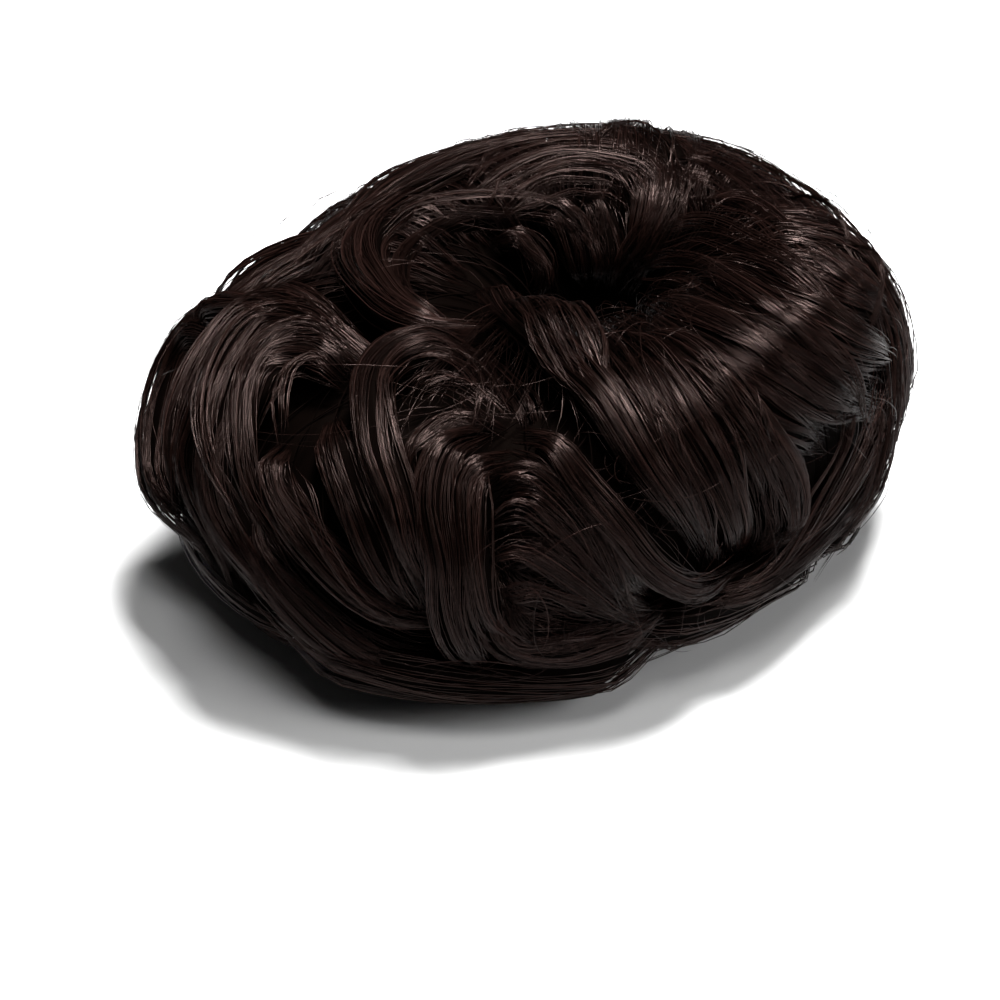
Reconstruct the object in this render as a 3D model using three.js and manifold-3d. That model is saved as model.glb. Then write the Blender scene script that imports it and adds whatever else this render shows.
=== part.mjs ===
// A top knot hairpiece: wavy locks of false hair gathered round a hidden elastic band.
// Millimetres, +Z up. The origin is the bottom centre of the whole hairpiece.
// A place on the roll of hair has two angles. "at" goes round the hub, 0 along +X and
// 90 along +Y. "over" goes over the roll: 0 is the outer rim, 90 the crest, 180 the
// wall of the hollow, and below 0 is the underside.
import * as THREE from "three";
import { mergeVertices } from "three/addons/utils/BufferGeometryUtils.js";
import Module from "manifold-3d";

const wasm = await Module();
wasm.setup();

// the roll of hair
const rollLength = 153;        // long axis of the oval seen from above
const rollWidth = 122;         // short axis of the oval
const rollHeight = 62.5;        // crest above the surface that it rests on
const widestHeight = 29;       // level of the outer rim
const longAxisTurn = 33;       // degrees from +X to the long axis
const hubShift = 18;           // hub from the middle of the oval, along the long axis
const hubRadius = 7;           // mouth that the locks leave open
const rollSquareness = 0.82;   // under 1 gives the roll fuller shoulders

// the hair that the locks lie on, and the band in it
const baseDepth = 8;           // base under the outer face of the locks
const boreRadius = 16;         // hollow for the wearer's bun, through the base
const bandThickness = 2;
const bandHeight = 8;
const bandLevel = 9;           // underside of the band above the surface

// the locks
const lockWidth = 15;
const lockDepth = 9;
const rimLockWidth = 18;
const backLockWidth = 22;
const sectionSides = 6;
const roundSides = 24;         // facets of the band and of the hollow
const stepLength = 12;         // length of lock between two sections
const gap = 0.35;              // between neighbouring pieces
const floorGap = 0.3;          // lowest hair of a lock above the surface

const hairBrown = 0x2a1c18;
const hairDark = 0x150d0b;
const bandBlack = 0x0d0c0c;

// Wide and deep are shares of lockWidth and lockDepth. Lift is the share of lockDepth by
// which a lock stands proud of the roll. TipWide and tipLift are the same at its tip where
// that differs. A later row lies on the earlier ones.
const shownLocks = [
  { name: "far_left_roll", at: [196, 189, 190, 196, 204, 212], over: [54, 36, 20, 8, 0, -6],
    wide: 0.95, deep: 1.0, lift: 0.15 },
  { name: "left_bump", at: [203, 195, 190, 191], over: [72, 60, 48, 36],
    wide: 0.6, deep: 0.7, lift: 0.15 },
  { name: "low_left_sweep", at: [220, 225, 231, 236, 242, 248], over: [22, 5, -8, -19, -28, -32],
    wide: 0.85, deep: 0.8, lift: -0.1 },
  { name: "pit_curl", at: [220, 222, 225, 230, 236, 242, 247], over: [46, 37, 28, 17, 5, -2, -8],
    wide: 0.6, deep: 0.7, lift: -0.2 },
  { name: "outer_wave", at: [208, 197, 192, 195, 202, 207, 209, 212, 216],
    over: [85, 77, 66, 57, 48, 37, 22, 9, -6], wide: 0.7, deep: 0.8, lift: -0.05 },
  { name: "middle_wave", at: [218, 208, 201, 205, 211, 214, 218, 223, 228, 234],
    over: [85, 81, 72, 60, 45, 31, 18, 8, -4, -18], wide: 0.75, deep: 0.85, lift: 0.05 },
  { name: "inner_wave", at: [220, 212, 210, 213, 216], over: [77, 74, 64, 53, 39],
    wide: 0.6, deep: 0.7, lift: 0.1 },
  { name: "top_left_sweep", at: [186, 175, 157, 137, 118, 100], over: [70, 77, 78, 73, 68, 67],
    wide: 0.95, deep: 0.9, lift: -0.1, tipLift: 0.1 },
  { name: "back_fluff", at: [62, 49, 33, 16, 0], over: [88, 82, 80, 82, 76],
    wide: 1.0, deep: 0.8, lift: -0.35 },
  { name: "top_right_curl", at: [84, 75, 62, 44], over: [66, 70, 87, 105],
    wide: 0.7, deep: 0.8, lift: 0.05 },
  { name: "right_rim", at: [349, 344, 334, 317, 301, 288, 279],
    over: [6, -4, -12, -14, -15, -15, -16], wide: 0.7, deep: 0.8, lift: -0.05 },
  { name: "inner_drop", at: [268, 279, 284, 288, 292, 294], over: [101, 83, 55, 29, 5, -9],
    wide: 0.85, deep: 0.8, lift: -0.25 },
  { name: "top_fan", at: [56, 15, 0, -9, -13, -8, 4], over: [134, 111, 98, 84, 60, 40, 18],
    wide: 0.8, deep: 0.8, lift: -0.3, tipLift: 0.3 },
  { name: "low_fan", at: [287, 291, 299, 308, 321], over: [118, 86, 57, 34, 14],
    wide: 0.85, deep: 0.8, lift: -0.15 },
  { name: "upper_fan", at: [48, 4, -18, -32, -31, -27, -16, -3],
    over: [141, 124, 104, 82, 64, 47, 28, 8], wide: 0.95, deep: 0.85, lift: -0.15,
    tipLift: 0.3 },
  { name: "middle_fan", at: [302, 298, 307, 319, 337], over: [122, 96, 68, 37, 13],
    wide: 1.0, deep: 0.85, lift: 0, tipLift: 0.25 },
  { name: "thin_top_lock", at: [104, 96, 92, 93], over: [109, 122, 140, 154],
    wide: 0.45, deep: 0.5, lift: -0.1 },
  { name: "top_curl", at: [101, 87, 74, 64, 64, 77], over: [68, 68, 90, 115, 136, 151],
    wide: 0.8, deep: 0.85, lift: 0.2, tipLift: 0 },
  { name: "small_top_curl", at: [113, 117, 124], over: [68, 90, 108],
    wide: 0.45, deep: 0.55, lift: 0.05 },
  { name: "eye_wall", at: [103, 109, 119, 131], over: [154, 138, 119, 106],
    wide: 0.75, deep: 0.8, lift: 0 },
  { name: "eye_curl", at: [156, 149, 151, 160], over: [116, 127, 141, 151],
    wide: 0.5, deep: 0.6, lift: -0.2 },
  { name: "inner_swirl", at: [125, 148, 167, 183, 200, 211, 208],
    over: [110, 99, 96, 96, 99, 106, 116], wide: 0.5, deep: 0.75, lift: -0.1 },
  { name: "outer_swirl", at: [142, 157, 171, 184, 197, 209, 218, 223, 218],
    over: [78, 84, 86, 89, 92, 94, 96, 100, 112], wide: 0.65, deep: 0.9, lift: 0.1 },
  { name: "inner_front_fan", at: [253, 259, 266, 273], over: [19, 23, 8, -6],
    wide: 0.55, deep: 0.6, lift: -0.35 },
  { name: "bottom_rim_lock", at: [252, 255, 262, 271, 280], over: [6, -9, -17, -15, -16],
    wide: 0.75, deep: 0.8, lift: 0 },
  { name: "front_fan", at: [252, 257, 264, 270, 275], over: [40, 41, 28, 6, -9],
    wide: 0.8, deep: 0.75, lift: -0.15 },
  { name: "right_front_fall", at: [252, 248, 249, 251, 253, 256], over: [59, 49, 32, 12, -3, -22],
    wide: 0.5, deep: 0.8, lift: 0 },
  { name: "left_front_fall", at: [246, 243, 244, 247, 248, 250, 252],
    over: [69, 56, 39, 19, 2, -16, -36], wide: 0.6, deep: 0.85, lift: 0.1 },
  { name: "pit_fall", at: [223, 230, 236, 240, 244], over: [62, 48, 30, 12, -8],
    wide: 0.75, deep: 0.7, lift: -0.25 },
  { name: "crown_fill", at: [214, 236, 249, 255], over: [112, 101, 87, 68],
    wide: 0.9, deep: 0.7, lift: -0.25 },
  { name: "ear_lining", at: [249, 240, 238, 239], over: [74, 73, 61, 48],
    wide: 0.5, deep: 0.6, lift: -0.2 },
  { name: "ear_lock", at: [235, 226, 223, 225, 230, 236, 241, 243, 245],
    over: [95, 92, 87, 78, 67, 51, 35, 20, 5], wide: 0.62, deep: 0.85, lift: 0.2 },
  { name: "outer_drop", at: [288, 294, 299, 304, 304, 299], over: [87, 63, 38, 14, 1, -10],
    wide: 0.8, deep: 0.85, lift: 0.05 },
  { name: "diagonal_band", at: [253, 259, 264, 270, 275, 280, 286, 293],
    over: [63, 56, 42, 24, 8, 0, -5, -7], wide: 0.6, tipWide: 0.45, deep: 0.75, lift: 0.15 },
  { name: "crown_drop", at: [203, 228, 250, 261, 268, 275, 281, 286],
    over: [126, 118, 100, 88, 73, 44, 22, 3], wide: 0.95, tipWide: 0.5, deep: 0.9, lift: 0.15 },
];

// plain locks at the back, side by side from the crest down to the rim
const backFrom = 174;
const backTo = 2;
const backSway = 5;            // degrees that a lock wanders to each side
const backOver = [90, 64, 38, 12, -12, -36];
const backLift = [-0.3, -0.2, -0.1, 0.1, 0.25, 0.25, 0, -0.35, -0.3, 0.1];

// locks that wind along under the rim, all the way round
const rimLift = [0, 0, 0, 0, -0.2, 0.25, -0.1, 0];
const rimSpan = 56;            // degrees round the hub that one of them covers
const rimOver = [-24, -34, -42, -46];

const radians = THREE.MathUtils.degToRad;

// distance from the hub to the oval outline
function reach(at) {
  const turn = at - radians(longAxisTurn);
  const dx = Math.cos(turn);
  const dy = Math.sin(turn);
  const long = (rollLength / 2) ** 2;
  const short = (rollWidth / 2) ** 2;
  const a = dx * dx / long + dy * dy / short;
  const b = 2 * hubShift * dx / long;
  const c = hubShift ** 2 / long - 1;
  return (-b + Math.sqrt(b * b - 4 * a * c)) / (2 * a);
}

function fuller(value) {
  return Math.sign(value) * Math.abs(value) ** rollSquareness;
}

// a point on the roll, or proud of it by lift, measured from the hub
function onRoll(atDegrees, overDegrees, lift) {
  const at = radians(atDegrees);
  const over = radians(overDegrees);
  const outer = reach(at);
  const middle = (hubRadius + outer) / 2;
  const halfRoll = (outer - hubRadius) / 2 + lift;
  const out = fuller(Math.cos(over));
  const up = fuller(Math.sin(over));
  const halfHeight = (up > 0 ? rollHeight - widestHeight : widestHeight) + lift;
  const radius = middle + halfRoll * out;
  return new THREE.Vector3(
    radius * Math.cos(at), radius * Math.sin(at), widestHeight + halfHeight * up);
}

// a closed skin over rings of points, capped at both ends or joined end to end
function skin(rings, endless) {
  const sides = rings[0].length;
  const points = rings.flat().flatMap((p) => [p.x, p.y, p.z]);
  const faces = [];
  const spans = endless ? rings.length : rings.length - 1;
  for (let i = 0; i < spans; i++) {
    for (let k = 0; k < sides; k++) {
      const here = i * sides;
      const next = ((i + 1) % rings.length) * sides;
      const beside = (k + 1) % sides;
      faces.push(here + k, next + beside, here + beside);
      faces.push(here + k, next + k, next + beside);
    }
  }
  const last = (rings.length - 1) * sides;
  for (let k = 1; !endless && k < sides - 1; k++) {
    faces.push(0, k, k + 1);
    faces.push(last, last + k + 1, last + k);
  }
  const geometry = new THREE.BufferGeometry();
  geometry.setAttribute("position", new THREE.Float32BufferAttribute(points, 3));
  geometry.setIndex(faces);
  return geometry;
}

function toSolid(geometry) {
  const bare = geometry.clone();
  bare.deleteAttribute("normal");
  bare.deleteAttribute("uv");
  const merged = mergeVertices(bare);
  const solid = new wasm.Manifold(new wasm.Mesh({
    numProp: 3,
    vertProperties: new Float32Array(merged.attributes.position.array),
    triVerts: new Uint32Array(merged.index.array),
  }));
  return solid;
}

function toGeometry(solid) {
  const mesh = solid.getMesh();
  const geometry = new THREE.BufferGeometry();
  geometry.setAttribute("position", new THREE.Float32BufferAttribute(mesh.vertProperties, 3));
  geometry.setIndex(Array.from(mesh.triVerts));
  geometry.computeVertexNormals();
  return geometry;
}

// a lock is narrow and sunk at its root, full along its length and thin at its tip
function fullness(along) {
  const root = Math.min(1, 0.5 + 2.2 * along);
  const tip = 1 - 0.6 * Math.max(0, (along - 0.72) / 0.28) ** 1.5;
  return root * tip;
}

function lockSkin(row, width, grown) {
  const half = { wide: row.wide * width / 2, deep: row.deep * lockDepth / 2 };
  const tipHalf = (row.tipWide ?? row.wide) * width / 2;
  const rise = (row.tipLift ?? row.lift) - row.lift;
  const lifts = row.at.map((_, i) =>
    (row.lift + rise * i / (row.at.length - 1)) * lockDepth - half.deep);
  const places = row.at.map((at, i) => onRoll(at, row.over[i], lifts[i]));
  const proud = row.at.map((at, i) => onRoll(at, row.over[i], lifts[i] + lockDepth));
  const middle = new THREE.CatmullRomCurve3(places, false, "centripetal");
  const above = new THREE.CatmullRomCurve3(proud, false, "centripetal");
  const steps = Math.max(4, Math.round(middle.getLength() / stepLength));
  const rings = [];
  for (let i = 0; i <= steps; i++) {
    const along = i / steps;
    const centre = middle.getPoint(along);
    const tangent = middle.getTangent(along);
    const outward = above.getPoint(along).sub(centre);
    outward.addScaledVector(tangent, -outward.dot(tangent)).normalize();
    const aside = new THREE.Vector3().crossVectors(tangent, outward);
    const share = fullness(along);
    const halfWide = half.wide + (tipHalf - half.wide) * along;
    if (i === 0) centre.addScaledVector(tangent, -grown);
    if (i === steps) centre.addScaledVector(tangent, grown);
    const ring = [];
    for (let k = 0; k < sectionSides; k++) {
      const turn = 2 * Math.PI * k / sectionSides;
      const point = centre.clone();
      point.addScaledVector(aside, (halfWide * share + grown) * Math.cos(turn));
      point.addScaledVector(outward, (half.deep * share + grown) * Math.sin(turn));
      point.z = Math.max(point.z, floorGap - grown);
      ring.push(point);
    }
    rings.push(ring);
  }
  return skin(rings, false);
}

function allLocks() {
  const locks = [];
  rimLift.forEach((lift, i) => {
    const start = i * 360 / rimLift.length;
    const at = rimOver.map((_, k) => start + rimSpan * k / (rimOver.length - 1));
    locks.push({ name: `rim_lock_${i + 1}`, at, over: rimOver, wide: 1, deep: 1, lift,
      width: rimLockWidth });
  });
  backLift.forEach((lift, i) => {
    const start = backFrom + (backTo - backFrom) * i / (backLift.length - 1);
    const at = backOver.map((_, k) => start + backSway * Math.sin(0.8 * k + 2.4 * i));
    locks.push({ name: `back_lock_${i + 1}`, at, over: backOver, wide: 1, deep: 0.9, lift,
      width: backLockWidth });
  });
  for (const row of shownLocks) locks.push({ ...row, width: lockWidth });
  return locks;
}

function largest(solid) {
  const bodies = solid.decompose();
  return bodies.reduce((best, body) => (body.volume() > best.volume() ? body : best));
}

// each lock is cut away where a later lock lies on it
function layLocks(locks) {
  const grown = locks.map((row) => toSolid(lockSkin(row, row.width, gap)));
  const laid = locks.map((row, i) => {
    let solid = toSolid(lockSkin(row, row.width, 0));
    for (let k = i + 1; k < locks.length; k++) solid = solid.subtract(grown[k]);
    return largest(solid);
  });
  return { grown, laid };
}

function bandRing(inside, outside, low, high) {
  const profile = [[inside, low], [outside, low], [outside, high], [inside, high], [inside, low]];
  return new THREE.LatheGeometry(profile.map(([r, z]) => new THREE.Vector2(r, z)), roundSides)
    .rotateX(Math.PI / 2);
}

function baseSkin() {
  const around = 24;
  const overSteps = 12;
  const rings = [];
  for (let i = 0; i < around; i++) {
    const ring = [];
    for (let k = 0; k < overSteps; k++) {
      const point = onRoll(360 * i / around, 360 * (k + 0.5) / overSteps, -baseDepth);
      const drop = Math.max(0, (widestHeight - point.z) / (widestHeight - baseDepth));
      point.z = Math.max(0, point.z - drop * (baseDepth + 1));
      ring.push(point);
    }
    rings.push(ring);
  }
  return skin(rings, true);
}

function bore() {
  return new THREE.CylinderGeometry(boreRadius, boreRadius, 3 * rollHeight, roundSides)
    .rotateX(Math.PI / 2);
}

function hair(color, roughness) {
  return new THREE.MeshStandardMaterial({ color, roughness, metalness: 0 });
}

const hairpiece = new THREE.Group();
const locks = allLocks();
const { grown, laid } = layLocks(locks);

let base = toSolid(baseSkin()).subtract(toSolid(bore()));
const bandOuter = boreRadius + bandThickness;
base = base.subtract(toSolid(
  bandRing(boreRadius - 1, bandOuter + gap, bandLevel - gap, bandLevel + bandHeight + gap)));
for (const lock of grown) base = base.subtract(lock);

function addPiece(name, geometry, material) {
  const mesh = new THREE.Mesh(geometry, material);
  mesh.name = name;
  hairpiece.add(mesh);
}

addPiece("hair_base", toGeometry(largest(base)), hair(hairDark, 0.6));
addPiece("elastic_band", bandRing(boreRadius, bandOuter, bandLevel, bandLevel + bandHeight),
  hair(bandBlack, 0.9));
locks.forEach((row, i) => addPiece(row.name, toGeometry(laid[i]), hair(hairBrown, 0.45)));

// the origin is the bottom centre of the whole
const box = new THREE.Box3().setFromObject(hairpiece);
const centre = box.getCenter(new THREE.Vector3());
for (const mesh of hairpiece.children) mesh.geometry.translate(-centre.x, -centre.y, -box.min.z);

export default hairpiece;
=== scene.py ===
import math

import bpy
import numpy as np
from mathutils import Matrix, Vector


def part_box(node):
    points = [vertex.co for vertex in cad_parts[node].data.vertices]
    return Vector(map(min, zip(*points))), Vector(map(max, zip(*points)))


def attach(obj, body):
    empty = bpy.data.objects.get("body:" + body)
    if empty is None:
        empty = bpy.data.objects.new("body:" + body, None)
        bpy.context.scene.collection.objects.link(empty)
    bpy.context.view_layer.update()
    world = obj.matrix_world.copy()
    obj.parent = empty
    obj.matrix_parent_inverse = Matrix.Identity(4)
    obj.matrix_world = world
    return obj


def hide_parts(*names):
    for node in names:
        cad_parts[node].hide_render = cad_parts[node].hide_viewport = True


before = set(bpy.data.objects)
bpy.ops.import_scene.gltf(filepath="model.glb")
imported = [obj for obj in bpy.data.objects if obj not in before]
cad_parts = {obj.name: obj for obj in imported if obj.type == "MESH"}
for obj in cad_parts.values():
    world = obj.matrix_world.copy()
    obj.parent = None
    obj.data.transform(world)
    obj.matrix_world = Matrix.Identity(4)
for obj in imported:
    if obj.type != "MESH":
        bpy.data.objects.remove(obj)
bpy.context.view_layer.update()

mm = 0.001
# where each piece's random draws start
seeds = {"locks": 1000, "underHair": 7, "backWisps": 77, "wisps": 500, "looseHairs": 21}
bandLow, bandHigh = (np.array(corner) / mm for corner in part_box("elastic_band"))
hub = (bandLow + bandHigh) / 2  # middle of the hollow, everything is laid out round it
hub[2] = 0

# the roll of hair as an oval ring, in millimetres and degrees
roll = {
    "length": 153, "width": 122, "height": 62.5, "widest": 29, "turn": 33,
    "hubShift": 18, "mouth": 7, "squareness": 0.82, "baseDepth": 8,
}
lockSize = {"wide": 15, "rimWide": 18, "backWide": 22, "deep": 9, "floorGap": 0.3}


def table(columns, rows):
    # the rows as dictionaries, a value left out at a row's end has no entry
    return [dict(zip(columns, row)) for row in rows]


# at goes round the hub, over goes over the roll: 0 rim, 90 crest, 180 hollow
# wide, deep and lift are shares of lockSize, later rows lie on top
shownLocks = table(("name", "at", "over", "wide", "deep", "lift", "tipLift", "tipWide"), [
    ("far_left_roll", [196, 189, 190, 196, 204, 212], [54, 36, 20, 8, 0, -6], 0.95, 1.0, 0.15, 0.15),
    ("left_bump", [203, 195, 190, 191], [72, 60, 48, 36], 0.6, 0.7, 0.15, 0.15),
    ("low_left_sweep", [220, 225, 231, 236, 242, 248],
     [22, 5, -8, -19, -28, -32], 0.85, 0.8, -0.1, -0.1),
    ("pit_curl", [220, 222, 225, 230, 236, 242, 247],
     [46, 37, 28, 17, 5, -2, -8], 0.6, 0.7, -0.2, -0.2),
    ("outer_wave", [208, 197, 192, 195, 202, 207, 209, 212, 216],
     [85, 77, 66, 57, 48, 37, 22, 9, -6], 0.7, 0.8, -0.05, -0.05),
    ("middle_wave", [218, 208, 201, 205, 211, 214, 218, 223, 228, 234],
     [85, 81, 72, 60, 45, 31, 18, 8, -4, -18], 0.75, 0.85, 0.05, 0.05),
    ("inner_wave", [220, 212, 210, 213, 216], [77, 74, 64, 53, 39], 0.6, 0.7, 0.1, 0.1),
    ("top_left_sweep", [186, 175, 157, 137, 118, 100], [70, 77, 78, 73, 68, 67], 0.95, 0.9, -0.1, 0.1),
    ("back_fluff", [62, 49, 33, 16, 0], [88, 82, 80, 82, 76], 1.0, 0.8, -0.35, -0.35),
    ("top_right_curl", [84, 75, 62, 44], [66, 70, 87, 105], 0.7, 0.8, 0.05, 0.05),
    ("right_rim", [349, 344, 334, 317, 301, 288, 279],
     [6, -4, -12, -14, -15, -15, -16], 0.7, 0.8, -0.05, -0.05),
    ("inner_drop", [268, 279, 284, 288, 292, 294], [101, 83, 55, 29, 5, -9], 0.85, 0.8, -0.25, -0.25),
    ("top_fan", [56, 15, 0, -9, -13, -8, 4], [134, 111, 98, 84, 60, 40, 18], 0.8, 0.8, -0.3, 0.3),
    ("low_fan", [287, 291, 299, 308, 321], [118, 86, 57, 34, 14], 0.85, 0.8, -0.15, -0.15),
    ("upper_fan", [48, 4, -18, -32, -31, -27, -16, -3],
     [141, 124, 104, 82, 64, 47, 28, 8], 0.95, 0.85, -0.15, 0.3),
    ("middle_fan", [302, 298, 307, 319, 337], [122, 96, 68, 37, 13], 1.0, 0.85, 0, 0.25),
    ("thin_top_lock", [104, 96, 92, 93], [109, 122, 140, 154], 0.45, 0.5, -0.1, -0.1),
    ("top_curl", [101, 87, 74, 64, 64, 77], [68, 68, 90, 115, 136, 151], 0.8, 0.85, 0.2, 0),
    ("small_top_curl", [113, 117, 124], [68, 90, 108], 0.45, 0.55, 0.05, 0.05),
    ("eye_wall", [103, 109, 119, 131], [154, 138, 119, 106], 0.75, 0.8, 0, 0),
    ("eye_curl", [156, 149, 151, 160], [116, 127, 141, 151], 0.5, 0.6, -0.2, -0.2),
    ("inner_swirl", [125, 148, 167, 183, 200, 211, 208],
     [110, 99, 96, 96, 99, 106, 116], 0.5, 0.75, -0.1, -0.1),
    ("outer_swirl", [142, 157, 171, 184, 197, 209, 218, 223, 218],
     [78, 84, 86, 89, 92, 94, 96, 100, 112], 0.65, 0.9, 0.1, 0.1),
    ("inner_front_fan", [253, 259, 266, 273], [19, 23, 8, -6], 0.55, 0.6, -0.35, -0.35),
    ("bottom_rim_lock", [252, 255, 262, 271, 280], [6, -9, -17, -15, -16], 0.75, 0.8, 0, 0),
    ("front_fan", [252, 257, 264, 270, 275], [40, 41, 28, 6, -9], 0.8, 0.75, -0.15, -0.15),
    ("right_front_fall", [252, 248, 249, 251, 253, 256], [59, 49, 32, 12, -3, -22], 0.5, 0.8, 0, 0),
    ("left_front_fall", [246, 243, 244, 247, 248, 250, 252],
     [69, 56, 39, 19, 2, -16, -36], 0.6, 0.85, 0.1, 0.1),
    ("pit_fall", [223, 230, 236, 240, 244], [62, 48, 30, 12, -8], 0.75, 0.7, -0.25, -0.25),
    ("crown_fill", [214, 236, 249, 255], [112, 101, 87, 68], 0.9, 0.7, -0.25, -0.25),
    ("ear_lining", [249, 240, 238, 239], [74, 73, 61, 48], 0.5, 0.6, -0.2, -0.2),
    ("ear_lock", [235, 226, 223, 225, 230, 236, 241, 243, 245],
     [95, 92, 87, 78, 67, 51, 35, 20, 5], 0.62, 0.85, 0.2, 0.2),
    ("outer_drop", [288, 294, 299, 304, 304, 299], [87, 63, 38, 14, 1, -10], 0.8, 0.85, 0.05, 0.05),
    ("diagonal_band", [253, 259, 264, 270, 275, 280, 286, 293],
     [63, 56, 42, 24, 8, 0, -5, -7], 0.6, 0.75, 0.15, 0.15, 0.45),
    ("crown_drop", [203, 228, 250, 261, 268, 275, 281, 286],
     [126, 118, 100, 88, 73, 44, 22, 3], 0.95, 0.9, 0.15, 0.15, 0.5),
])
backLocks = {
    "from": 174, "to": 2, "sway": 5, "rootEnd": 0.18, "over": [113, 90, 64, 38, 12, -12, -36],
    "lift": [-0.3, -0.2, -0.1, 0.1, 0.25, 0.25, 0, -0.35, -0.3, 0.1],
}
rimLocks = {"span": 56, "over": [-24, -34, -42, -46], "lift": [0, 0, 0, 0, -0.2, 0.25, -0.1, 0]}


def reach(at):
    turn = at - math.radians(roll["turn"])
    long, short = (roll["length"] / 2) ** 2, (roll["width"] / 2) ** 2
    a = np.cos(turn) ** 2 / long + np.sin(turn) ** 2 / short
    b = 2 * roll["hubShift"] * np.cos(turn) / long
    c = roll["hubShift"] ** 2 / long - 1
    return (-b + np.sqrt(b * b - 4 * a * c)) / (2 * a)


def fuller(value):
    return np.sign(value) * np.abs(value) ** roll["squareness"]


def onRoll(atDegrees, overDegrees, lift):
    at, over = np.radians(atDegrees), np.radians(overDegrees)
    outer = reach(at)
    out, up = fuller(np.cos(over)), fuller(np.sin(over))
    halfRoll = (outer - roll["mouth"]) / 2 + lift
    halfHeight = np.where(up > 0, roll["height"] - roll["widest"], roll["widest"]) + lift
    radius = (roll["mouth"] + outer) / 2 + halfRoll * out
    return np.stack([hub[0] + radius * np.cos(at), hub[1] + radius * np.sin(at),
                     roll["widest"] + halfHeight * up], -1)


def throughPoints(points, count):
    # a smooth path through the points, even in the share of points passed
    points = np.asarray(points, float)
    ends = [2 * points[0] - points[1]], [2 * points[-1] - points[-2]]
    p = np.concatenate([ends[0], points, ends[1]])
    t = np.linspace(0, len(points) - 1, count)
    i = np.minimum(t.astype(int), len(points) - 2)
    w = (t - i)[:, None]
    knots = np.maximum(np.linalg.norm(np.diff(p, axis=0), axis=1), 1e-4) ** 0.5
    d0, d1, d2 = (knots[i + k][:, None] for k in range(3))
    a, b, c, d = (p[i + k] for k in range(4))
    t1 = ((b - a) / d0 - (c - a) / (d0 + d1) + (c - b) / d1) * d1
    t2 = ((c - b) / d1 - (d - b) / (d1 + d2) + (d - c) / d2) * d1
    return b + t1 * w + (-3 * b + 3 * c - 2 * t1 - t2) * w ** 2 + (2 * b - 2 * c + t1 + t2) * w ** 3


def unit(v):
    return v / np.maximum(np.linalg.norm(v, axis=-1, keepdims=True), 1e-9)


def allLocks():
    rows = []
    count = len(rimLocks["lift"])
    for i, lift in enumerate(rimLocks["lift"]):
        at = [i * 360 / count + rimLocks["span"] * k / 3 for k in range(4)]
        rows.append({"name": f"rim_lock_{i + 1}", "at": at, "over": rimLocks["over"],
                     "wide": 1, "deep": 1, "lift": lift, "width": lockSize["rimWide"],
                     "kind": "rim"})
    count = len(backLocks["lift"])
    for i, lift in enumerate(backLocks["lift"]):
        start = backLocks["from"] + (backLocks["to"] - backLocks["from"]) * i / (count - 1)
        at = [start + backLocks["sway"] * math.sin(0.8 * k + 2.4 * i) for k in range(-1, 6)]
        rows.append({"name": f"back_lock_{i + 1}", "at": at, "over": backLocks["over"],
                     "wide": 1, "deep": 0.9, "lift": lift, "width": lockSize["backWide"],
                     "rootEnd": backLocks["rootEnd"], "kind": "back"})
    return rows + [{**row, "width": lockSize["wide"], "kind": "shown"} for row in shownLocks]


class Course:
    # the middle line of a lock with its directions, read at any share along it
    def __init__(self, row):
        self.rootHalfWide = row["wide"] * row["width"] / 2
        self.tipHalfWide = row.get("tipWide", row["wide"]) * row["width"] / 2
        self.halfDeep = row["deep"] * lockSize["deep"] / 2
        rise = np.linspace(row["lift"], row.get("tipLift", row["lift"]), len(row["at"]))
        rise = rise + np.array(row.get("bulge", [0] * len(row["at"])))
        lift = rise * lockSize["deep"] - self.halfDeep
        at, over = np.array(row["at"], float), np.array(row["over"], float)
        self.middle = throughPoints(onRoll(at, over, lift), 81)
        above = throughPoints(onRoll(at, over, lift + lockSize["deep"]), 81)
        self.tangent = unit(np.gradient(self.middle, axis=0))
        out = above - self.middle
        out = out - self.tangent * (out * self.tangent).sum(1, keepdims=True)
        self.out = unit(out)
        self.length = np.linalg.norm(np.diff(self.middle, axis=0), axis=1).sum()

    def halfWide(self, along):
        return self.rootHalfWide + (self.tipHalfWide - self.rootHalfWide) * np.clip(along, 0, 1)

    def read(self, along):
        # beyond either end the course runs straight on
        x = np.clip(along, 0, 1) * 80
        i = np.minimum(x.astype(int), 79)
        w = (x - i)[..., None]
        middle = self.middle[i] * (1 - w) + self.middle[i + 1] * w
        tangent = unit(self.tangent[i] * (1 - w) + self.tangent[i + 1] * w)
        out = unit(self.out[i] * (1 - w) + self.out[i + 1] * w)
        middle = middle + tangent * ((along - np.clip(along, 0, 1)) * self.length)[..., None]
        return middle, tangent, out, np.cross(out, tangent)


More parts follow.
